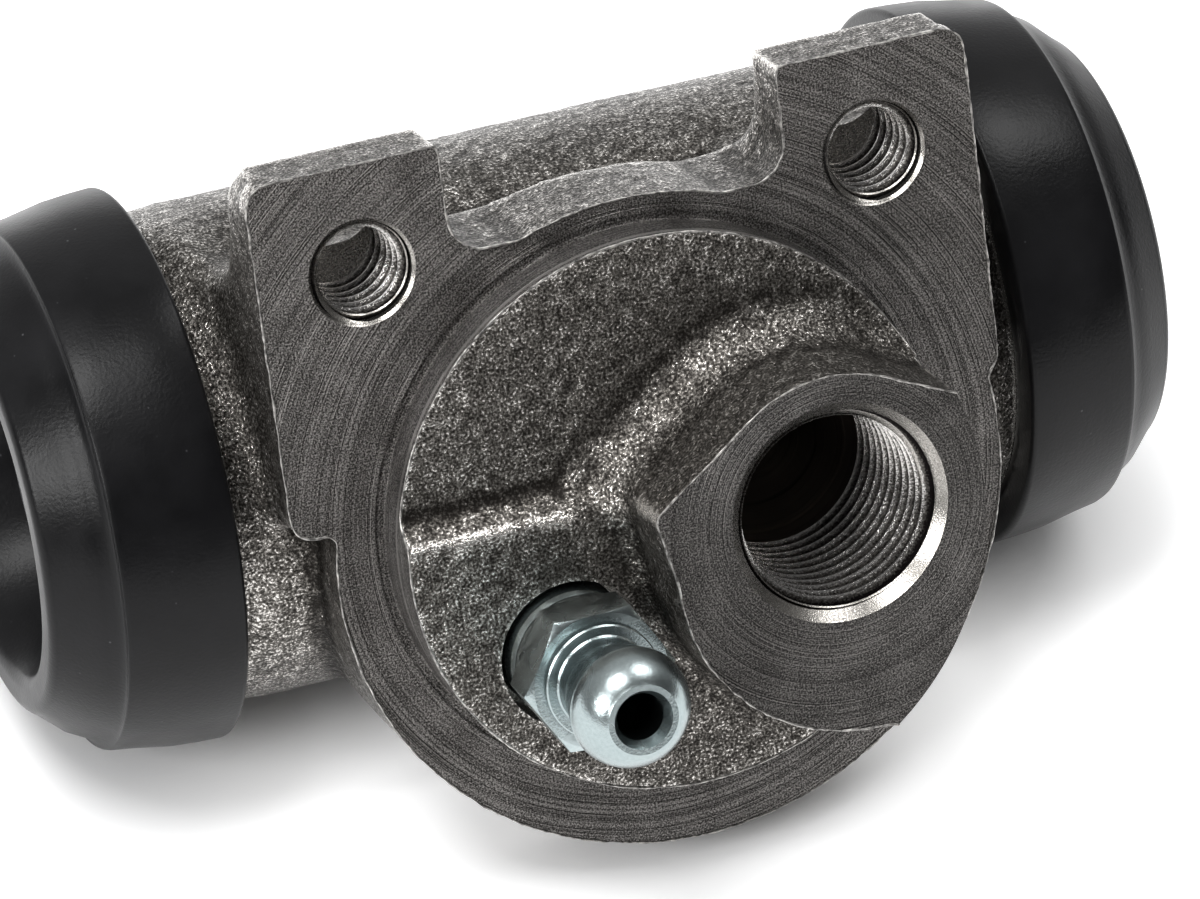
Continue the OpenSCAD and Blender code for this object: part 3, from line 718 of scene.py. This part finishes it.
def bore_barrel(casting):
    """Bores the barrel and turns the lands that the boots sit on."""
    end = BARREL_HALF
    past = end + RUN_OUT
    mouth_r = BORE_R + BORE_EDGE + RUN_OUT
    bore = [(0, -past), (mouth_r, -past), (BORE_R, BORE_EDGE - end), (BORE_R, end - BORE_EDGE),
            (mouth_r, past), (0, past)]
    turn_away(casting, "boring bar", bore, AXIS, ALONG, cut_iron)
    far = end + 2 * RUN_OUT
    inside = BORE_R - RUN_OUT
    land = [(inside, far), (inside, end), (LAND_R - LAND_EDGE, end), (LAND_R, end - LAND_EDGE),
            (LAND_R, BEAD_END), (BEAD_R, BEAD_END), (BEAD_R, BEAD_START), (LAND_R, BEAD_START),
            (LAND_R, LAND_START), (BEYOND / 2, LAND_START), (BEYOND / 2, far)]
    for side in (ALONG, -ALONG):
        turn_away(casting, "land cutter", land, AXIS, side, cut_iron)


def machine(casting):
    """Turns, faces, drills and bores the casting."""
    face_front(casting)
    drill_holes(casting)
    bore_barrel(casting)
    smooth(casting, CAST_CREASE)


def mark_shade_and_wear(casting):
    """Stores how far each point of the skin stands out of its surroundings: 0 in a hollow, 1 on an edge.
    The cast iron turns it into painted shade in the hollows and into rubbed wear with a painted highlight
    on the edges.
    """
    mesh = casting.data
    places, normals = np.empty((2, len(mesh.vertices), 3))
    mesh.vertices.foreach_get("co", places.ravel())
    mesh.vertices.foreach_get("normal", normals.ravel())
    ends = np.empty((len(mesh.edges), 2), dtype=np.int32)
    mesh.edges.foreach_get("vertices", ends.ravel())
    lengths = np.linalg.norm(places[ends[:, 0]] - places[ends[:, 1]], axis=1)
    a, b = ends[lengths < 3 * GRAIN_VOXEL * MM].T
    degree = np.bincount(a, minlength=len(places)) + np.bincount(b, minlength=len(places))

    def around(values):
        total = np.zeros_like(values)
        np.add.at(total, a, values[b])
        np.add.at(total, b, values[a])
        shares = degree.reshape([-1] + [1] * (values.ndim - 1))
        return np.where(shares > 0, total / np.maximum(shares, 1), values)

    soft = places
    for _ in range(SHADE_AND_WEAR_REACH):
        soft = around(soft)
    rise = ((places - soft) * normals).sum(axis=1)
    wear = np.clip(0.5 + rise / (SHADE_AND_WEAR_DEPTH * MM), 0, 1)
    mesh.attributes.new(SHADE_AND_WEAR, "FLOAT", "POINT").data.foreach_set("value", wear.astype(np.float32))


def raise_burrs(casting):
    """Thin bright burrs where the tool ran out of the cast skin."""
    slots = [slot.material for slot in casting.material_slots]
    cast = slots.index(cast_iron)
    faced = [slots.index(turned_iron), slots.index(port_iron_painted_darker)]

    def at_edge(edge):
        finishes = sorted({face.material_index for face in edge.link_faces})
        return len(finishes) == 2 and cast in finishes and any(f in finishes for f in faced)

    before = set(bpy.data.objects)
    with editing(casting, "EDGE"):
        pick(casting, "edges", at_edge)
        bpy.ops.mesh.duplicate()
        bpy.ops.mesh.separate(type="SELECTED")
    burrs = (set(bpy.data.objects) - before).pop()
    burrs.name = "edge_burrs"
    only(burrs)
    bpy.ops.object.convert(target="CURVE")
    curve = bpy.context.object
    curve.data.bevel_depth = BURR_R * MM
    curve.data.bevel_resolution = 1
    for spline in curve.data.splines:
        for point in spline.points:
            place = point.co.xyz / MM
            wear = noise.noise(place * 0.6) + 0.6 * noise.noise(place * 2.1)
            point.radius = max(BURR_LEAST, 0.8 + 0.9 * wear)
    bpy.ops.object.convert(target="MESH")
    burrs = bpy.context.object
    with_finish(burrs, burr_metal)
    bpy.ops.object.shade_smooth()
    return burrs


def tapped_thread(name, core_r, thread_r, centre, face, mouth_r, floor):
    """The thread inside a drilled hole, as a thin helical lining."""
    pitch = THREAD_PITCH
    flank = [(core_r, 0), (core_r, pitch / 8), (thread_r, pitch * 7 / 16), (thread_r, pitch * 11 / 16),
             (core_r, pitch)]
    lining = trace(name, [Vector((r, 0, along)) * MM for r, along in flank])
    turns = int((face - floor) / pitch) + 1
    add_modifier(lining, "SCREW", angle=math.tau, screw_offset=pitch * MM, iterations=turns,
                 steps=THREAD_STEPS, render_steps=THREAD_STEPS, use_merge_vertices=True,
                 merge_threshold=WELD / 2 * MM)
    with editing(lining):
        close_up()
    add_modifier(lining, "SOLIDIFY", thickness=LINING_T * MM, offset=1.0)
    turn_out = OUT.to_track_quat("Z", "X").to_matrix().to_4x4()
    place = Matrix.Translation((centre + OUT * (face - turns * pitch)) * MM)
    lining.data.transform(place @ turn_out)
    tip_r = core_r - 0.4
    rise = 3 * RUN_OUT
    mouth = [(0, face + rise), (mouth_r + rise, face + rise), (mouth_r, face),
             (tip_r, face - mouth_r + tip_r), (0, face - mouth_r + tip_r)]
    with_finish(lining, make_thread_iron_with_shaded_roots(name.replace("_", " "), centre, core_r, thread_r))
    turn_away(lining, "countersink", mouth, centre, OUT, cut_iron)
    smooth(lining, TURNED_CREASE)
    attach(lining, "cylinder")


casting = pour_blank()
sand_skin(casting)
machine(casting)
mark_shade_and_wear(casting)
burrs = raise_burrs(casting)
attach(casting, "cylinder")
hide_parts("body")
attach(burrs, "cylinder")
tapped_thread("port_thread", PORT_R, PORT_THREAD_R, PORT, PORT_H, PORT_MOUTH_R, PORT_FLOOR)
for side, place in BOLTS.items():
    tapped_thread(f"{side}_bolt_thread", BOLT_R, BOLT_THREAD_R, place, 0, BOLT_MOUTH_R, BOLT_FLOOR)


# Bleed screw

HEX_BASE = 6.0
HEX_TOP = 9.0
HEX_CORNER_R = 4 / math.cos(math.radians(30))
HEX_ROUND = 0.55
HEX_SINK = 0.2
CROWN_REACH = 0.2
HEX_EDGE = 0.07
NIPPLE_R = 3.55
NIPPLE_NECK_R = 2.75
NIPPLE_TIP_R = 2.1
NECK_END = HEX_TOP + 1.4
DOME_LEN = 2.4
DOME_STEPS = 12
WASHER_R = 3.45
WASHER_TOP = HEX_TOP + 0.35
SHOULDER_R = 4.0
SHOULDER_START = RECESS_FLOOR + 0.3
SHOULDER_GROOVES = 5
GROOVE_DEPTH = 0.16
CONE_RINGS = 7
CONE_RING_DEPTH = 0.035
DOME_RIB = 0.05
SHANK_R = 3.42
SEAT_R = 1.7
BLEED_BORE_R = 1.4
SCREW_STEPS = 96


def screw_profile():
    """Outline of the turned screw, from its seat to the nipple and back down its bore."""
    seat_end = BLEED_BOTTOM - BLEED_THREAD_R + SEAT_R + 0.1
    stem = [(0, seat_end), (SEAT_R, seat_end), (SHANK_R, seat_end + SHANK_R - SEAT_R),
            (SHANK_R, SHOULDER_START)]
    pitch = (HEX_BASE - SHOULDER_START) / SHOULDER_GROOVES
    for i in range(SHOULDER_GROOVES):
        low = SHOULDER_START + i * pitch
        stem += [(SHOULDER_R - GROOVE_DEPTH, low), (SHOULDER_R, low + 0.4 * pitch),
                 (SHOULDER_R, low + 0.6 * pitch)]
    stem += [(SHOULDER_R, HEX_BASE + HEX_SINK), (WASHER_R, HEX_BASE + HEX_SINK),
             (WASHER_R, WASHER_TOP - 0.08), (WASHER_R - 0.08, WASHER_TOP),
             (NIPPLE_NECK_R + 0.1, WASHER_TOP), (NIPPLE_NECK_R, WASHER_TOP + 0.1)]
    dome_start = NIPPLE_END - DOME_LEN
    for i in range(CONE_RINGS):
        for share, depth in ((i, 0), (i + 0.5, CONE_RING_DEPTH)):
            part = share / CONE_RINGS
            stem.append((NIPPLE_NECK_R + (NIPPLE_R - NIPPLE_NECK_R) * part - depth,
                         NECK_END + (dome_start - NECK_END) * part))
    drop = NIPPLE_R - NIPPLE_TIP_R
    dome_r = (drop ** 2 + DOME_LEN ** 2) / (2 * drop)
    dome_turn = math.degrees(math.asin(DOME_LEN / dome_r))
    dome = arc((NIPPLE_R - dome_r, dome_start), dome_r, 0, dome_turn, DOME_STEPS)
    stem += [(r - DOME_RIB * (i % 2), along) for i, (r, along) in enumerate(dome)]
    stem += [(BLEED_BORE_R + 0.35, NIPPLE_END), (BLEED_BORE_R, NIPPLE_END - 0.6),
             (BLEED_BORE_R, seat_end + SHANK_R), (0, seat_end + SHANK_R - 0.8)]
    return stem


def make_hexagon():
    """The screw's hexagon with turned corners, open round the bore."""
    bpy.ops.object.select_all(action="DESELECT")
    bpy.ops.mesh.primitive_cylinder_add(
        vertices=6, radius=HEX_CORNER_R * MM, depth=(HEX_TOP - HEX_BASE) * MM,
        location=(BLEED + OUT * (HEX_BASE + HEX_TOP) / 2) * MM, rotation=(math.pi / 2, math.pi / 6, 0))
    hexagon = set_down()
    reach = HEX_CORNER_R + CROWN_REACH
    edge = (HEX_ROUND + CROWN_REACH) * math.tan(math.radians(30))
    crown = [(0, HEX_BASE), (HEX_CORNER_R - HEX_ROUND, HEX_BASE), (reach, HEX_BASE + edge),
             (reach, HEX_TOP - edge), (HEX_CORNER_R - HEX_ROUND, HEX_TOP), (0, HEX_TOP)]
    cut(hexagon, turned("hexagon crown", crown, BLEED, OUT, SCREW_STEPS), "INTERSECT")
    core_r = BLEED_BORE_R + 0.3
    low, high = HEX_BASE - RUN_OUT, HEX_TOP + RUN_OUT
    core = [(0, low), (core_r, low), (core_r, high), (0, high)]
    cut(hexagon, turned("hexagon core", core, BLEED, OUT, SCREW_STEPS // 2))
    add_modifier(hexagon, "BEVEL", width=HEX_EDGE * MM, segments=2, limit_method="ANGLE",
                 angle_limit=math.radians(25))
    return hexagon


def make_bleed_screw():
    screw = turned("bleed_screw_plated", screw_profile(), BLEED, OUT, SCREW_STEPS)
    cut(screw, make_hexagon(), "UNION")
    with_finish(screw, zinc_plate)
    smooth(screw, TURNED_CREASE)
    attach(screw, "bleeder")
    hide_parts("bleed_screw")


make_bleed_screw()


# Boots

BOOT_FIT_R = LAND_R + 0.05
BOOT_RIDGE_R = 15.75
BOOT_RIDGE_AT = BARREL_HALF + 1
BOOT_SHOULDER_R = 12.95
BOOT_CREST_R = 11.65
BOOT_LIP_R = 7.25
BOOT_LIP_START = 27.5
BOOT_LIP_END = 28.9
CREST_ROUND = 0.85
RIM_ROUND = 0.35
RIDGE_ROUND = 0.14
BOOT_WALL = 1.3
BOOT_STEPS = 160


def make_boot(side, direction):
    """One boot in two pieces that meet at its crest: the band on the land and the dish at the piston."""
    crest_at = BOOT_END - CREST_ROUND
    seam_r = BOOT_CREST_R
    back = BOOT_END - BOOT_WALL
    rim = [(BOOT_FIT_R, BOOT_START), (BOOT_RIM_R - RIM_ROUND, BOOT_START)]
    rim += arc((BOOT_RIM_R - RIM_ROUND, BOOT_START + RIM_ROUND), RIM_ROUND, -60, 0, 4)
    rim += [(BOOT_RIM_R - 0.06, BOOT_START + 1.6), (BOOT_RIM_R - 0.2, BOOT_START + 3.2),
            (BOOT_RIDGE_R + 0.28, BOOT_RIDGE_AT - 1.6), (BOOT_RIDGE_R + 0.08, BOOT_RIDGE_AT - 0.3)]
    rim += arc((BOOT_RIDGE_R - RIDGE_ROUND, BOOT_RIDGE_AT - 0.1), RIDGE_ROUND, 20, 110, 4)
    rim += [(BOOT_RIDGE_R - 0.42, BOOT_RIDGE_AT + 0.16), (BOOT_RIDGE_R - 0.7, BOOT_RIDGE_AT + 0.45)]
    shoulder = [(BOOT_RIDGE_R - 1.0, BOOT_RIDGE_AT + 0.95), (BOOT_RIDGE_R - 1.45, BOOT_RIDGE_AT + 1.75)]
    shoulder += arc((BOOT_SHOULDER_R - CREST_ROUND, crest_at), CREST_ROUND, 25, 90, 8)
    inner = [(seam_r, BOOT_END), (seam_r, back), (BOOT_FIT_R - 0.8, BARREL_HALF + 0.8),
             (BOOT_FIT_R, BARREL_HALF + 0.3), (BOOT_FIT_R, BEAD_END - 0.1), (BEAD_R + 0.15, BEAD_END - 0.1),
             (BEAD_R + 0.15, BEAD_START + 0.1), (BOOT_FIT_R, BEAD_START + 0.1)]
    band = turned(f"{side}_boot_band", rim + shoulder + inner, AXIS, direction, BOOT_STEPS)
    dish_r = BOOT_LIP_R + 1.5
    front = [(seam_r, BOOT_END)]
    front += arc((BOOT_CREST_R - CREST_ROUND / 2, crest_at), CREST_ROUND, 90, 155, 6)
    front += [(dish_r + 0.25, BOOT_LIP_END + 1.2), (dish_r, BOOT_LIP_END + 0.2),
              (dish_r - 0.2, BOOT_LIP_END), (BOOT_LIP_R + 0.2, BOOT_LIP_END),
              (BOOT_LIP_R, BOOT_LIP_END - 0.2), (BOOT_LIP_R, BOOT_LIP_START),
              (dish_r + BOOT_WALL / 2, BOOT_LIP_START), (seam_r - 0.4, back - 0.25), (seam_r, back)]
    dish = turned(f"{side}_boot_dish", front, AXIS, direction, BOOT_STEPS)
    for piece in (band, dish):
        with_finish(piece, boot_rubber)
        smooth(piece, BOOT_CREASE)
        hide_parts(f"{side}_boot")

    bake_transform(band)
    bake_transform(dish)


make_boot("left", -ALONG)
make_boot("right", ALONG)


# Spring, in two halves

SPRING_R = 4.65
SPRING_WIRE_R = 0.55
SPRING_TURNS = 7
COIL_STEPS = 40
END_CROWDING = 1 / 9


def make_spring_half(side, sign):
    steps = COIL_STEPS * SPRING_TURNS // 2
    half = SPRING_HALF - SPRING_WIRE_R
    bpy.ops.object.select_all(action="DESELECT")
    bpy.ops.curve.primitive_nurbs_path_add()
    coil = bpy.context.object
    coil.name = f"{side}_spring_half"
    coil.data.splines.clear()
    spline = coil.data.splines.new("POLY")
    spline.points.add(steps)
    for i, point in enumerate(spline.points):
        share = 0.5 + 0.5 * i / steps
        along = half * (2 * (share - math.sin(math.tau * share) * END_CROWDING) - 1)
        turn = math.tau * SPRING_TURNS * share * sign
        place = AXIS + Vector((sign * along, SPRING_R * math.cos(turn), SPRING_R * math.sin(turn)))
        point.co = (*(place * MM), 1)
    coil.data.dimensions = "3D"
    coil.data.bevel_depth = SPRING_WIRE_R * MM
    coil.data.bevel_resolution = 3
    coil.data.use_fill_caps = True
    bpy.ops.object.convert(target="MESH")
    coil = bpy.context.object
    with_finish(coil, spring_steel)
    bpy.ops.object.shade_smooth()
    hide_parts("return_spring")
    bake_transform(coil)


make_spring_half("left", -1)
make_spring_half("right", 1)

# Pistons, cups and expanders keep the solids' shapes

for side in ("left", "right"):
    for piece, material in (("piston", piston_metal), ("cup", cup_rubber), ("expander", spring_steel)):
        with_finish(frame["nodes"][f"{side}_{piece}"], material)


# Stage, light and camera

FLOOR_TILT = math.radians(24)
FLOOR_SIZE = 4000
FLOOR_COLOUR = (0.86, 0.86, 0.865, 1)
FLOOR_GLOW = (0.02, 0.66)
SHADOW_REACH = 8.0
ROOM_LEVELS = (0.08, 0.45)
MIRRORED_LEVEL = 0.45
# Name, strength, width in degrees and heading of each lamp
LAMPS = (("key", 1.8, 26, (0.30, 0.43, -0.85)),
         ("side", 2.0, 24, (0.80, 0.5, -0.31)),
         ("fill", 0.95, 24, (-0.46, 0.22, -0.86)))
CAMERA_AZIMUTH = math.radians(-17.44)
CAMERA_ELEVATION = math.radians(20.804)
CAMERA_ROLL = math.radians(-7.38)
CAMERA_DISTANCE = 462.68
CAMERA_NEAR = 10
SENSOR_W = 36
FOCAL_PIXELS = 8000
PHOTO_W = 1200
PHOTO_H = 899
SPIGOT_PIXEL = (656.08, 494.04)


def floor_place():
    """A point of the tilted floor, which touches the object's lowest point."""
    up = Vector((0, -math.sin(FLOOR_TILT), math.cos(FLOOR_TILT)))
    lowest = 0
    for obj in bpy.data.objects:
        if obj.type == "MESH" and not obj.hide_render:
            lowest = min([lowest] + [up.dot(v.co) for v in obj.data.vertices])
    return up * lowest


def make_floor():
    """A white table that darkens close to the object and is clear from below."""
    place = floor_place()
    bpy.ops.object.select_all(action="DESELECT")
    bpy.ops.mesh.primitive_plane_add(size=FLOOR_SIZE * MM, location=place, rotation=(FLOOR_TILT, 0, 0))
    floor = set_down()
    floor.name = "floor"
    material, nodes, shader, _ = new_material("white table", Roughness=0.9, Base_Color=FLOOR_COLOUR)
    path = nodes.add("ShaderNodeLightPath").outputs
    seen = nodes.math("MAXIMUM", path["Is Camera Ray"], path["Is Glossy Ray"])
    seen = nodes.math("MAXIMUM", seen, path["Is Transmission Ray"])
    open_floor = nodes.add("ShaderNodeAmbientOcclusion", Distance=SHADOW_REACH * MM).outputs["AO"]
    level = nodes.spread(open_floor, 0.25, 1.0, *FLOOR_GLOW)
    glow = nodes.add("ShaderNodeEmission", Color=(1, 1, 1, 1), Strength=nodes.math("MULTIPLY", seen, level))
    lit = nodes.add("ShaderNodeAddShader", _0=shader.outputs[0], _1=glow.outputs[0])
    clear = nodes.add("ShaderNodeBsdfTransparent")
    back = nodes.add("ShaderNodeNewGeometry").outputs["Backfacing"]
    mix = nodes.add("ShaderNodeMixShader", Fac=back, _1=lit.outputs[0], _2=clear.outputs[0])
    nodes.tree.links.new(mix.outputs[0], nodes.tree.nodes["Material Output"].inputs["Surface"])
    with_finish(floor, material)


def make_light():
    """A white background with a dimmer room for the light it gives, and the lamps."""
    world = bpy.data.worlds.new("white studio")
    bpy.context.scene.world = world
    world.use_nodes = True
    nodes = Nodes(world.node_tree)
    background = world.node_tree.nodes["Background"]
    path = nodes.add("ShaderNodeLightPath").outputs
    heading = nodes.add("ShaderNodeTexCoord").outputs["Generated"]
    parts = nodes.add("ShaderNodeSeparateXYZ", Vector=heading).outputs
    backdrop = nodes.spread(nodes.math("ADD", parts["Y"], parts["Z"]), 0.0, 1.8)
    room = nodes.spread(backdrop, 0, 1, *ROOM_LEVELS)
    mirrored = nodes.math("MULTIPLY", path["Is Glossy Ray"],
                          nodes.spread(backdrop, 0, 1, 0, MIRRORED_LEVEL))
    seen = nodes.math("MAXIMUM", path["Is Camera Ray"], path["Is Transmission Ray"])
    seen = nodes.math("MAXIMUM", seen, mirrored)
    level = nodes.add("ShaderNodeMix", Factor=seen, _2=room, _3=1.0).outputs[0]
    nodes.tree.links.new(level, background.inputs["Strength"])
    background.inputs["Color"].default_value = (1, 1, 1, 1)
    for name, strength, angle, towards in LAMPS:
        bpy.ops.object.light_add(type="SUN", rotation=Vector(towards).to_track_quat("-Z", "Y").to_euler())
        light = bpy.context.object
        light.name = name
        light.data.energy = strength
        light.data.angle = math.radians(angle)


def make_camera():
    """The photo's view: turn, height and roll about the spigot, and the spigot's place in the picture."""
    back = Vector((math.sin(CAMERA_AZIMUTH) * math.cos(CAMERA_ELEVATION),
                   -math.cos(CAMERA_AZIMUTH) * math.cos(CAMERA_ELEVATION), math.sin(CAMERA_ELEVATION)))
    level_right = (-back).cross(Vector((0, 0, 1))).normalized()
    level_up = level_right.cross(-back)
    right = level_right * math.cos(CAMERA_ROLL) + level_up * math.sin(CAMERA_ROLL)
    up = level_up * math.cos(CAMERA_ROLL) - level_right * math.sin(CAMERA_ROLL)
    across = (SPIGOT_PIXEL[0] - PHOTO_W / 2) * CAMERA_DISTANCE / FOCAL_PIXELS
    down = (SPIGOT_PIXEL[1] - PHOTO_H / 2) * CAMERA_DISTANCE / FOCAL_PIXELS
    place = back * CAMERA_DISTANCE - right * across + up * down
    bpy.ops.object.camera_add(location=place * MM)
    camera = bpy.context.object
    turn = Matrix((right, up, back)).transposed()
    camera.rotation_euler = turn.to_euler()
    camera.data.sensor_width = SENSOR_W
    camera.data.lens = FOCAL_PIXELS / PHOTO_W * SENSOR_W
    camera.data.clip_start = CAMERA_NEAR * MM
    bpy.context.scene.camera = camera


make_floor()
make_light()
make_camera()
bpy.context.scene.view_settings.view_transform = "Standard"
